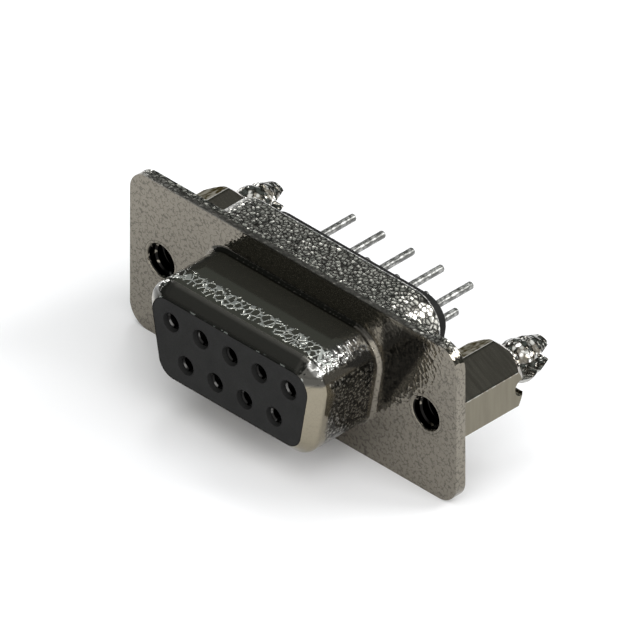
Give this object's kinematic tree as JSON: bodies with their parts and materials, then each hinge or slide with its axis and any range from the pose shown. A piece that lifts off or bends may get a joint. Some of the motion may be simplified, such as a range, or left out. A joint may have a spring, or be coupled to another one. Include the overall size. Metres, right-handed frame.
{
  "type": "d-sub connector",
  "caption": "Vertical board-mount D-sub socket: D-shaped shroud on a plated steel flange, black insulator with socket contacts, hex standoffs with split board pins.",
  "frame": {"origin": "middle of the flange's front face, half way between the two threaded holes", "axes": "+X along the flange towards the right-hand standoff, +Y from the mating face to the solder tails, +Z towards the wide side of the D"},
  "size_m": [0.0308, 0.0173, 0.0126],
  "materials": {
    "shell_plate": "speckled nickel plate",
    "insulator": "matte, glass-filled",
    "contact_tin": "bright tin",
    "standoff_plate": "turned, nickel plated"
  },
  "bodies": {
    "root": {"front_shell": "shell_plate", "rear_shell": "shell_plate", "front_insulator": "insulator", "rear_insulator": "insulator", "contact_1": "contact_tin", "contact_2": "contact_tin", "contact_3": "contact_tin", "contact_4": "contact_tin", "contact_5": "contact_tin", "contact_6": "contact_tin", "contact_7": "contact_tin", "contact_8": "contact_tin", "contact_9": "contact_tin", "left_standoff": "standoff_plate", "right_standoff": "standoff_plate"}
  },
  "joints": []
}
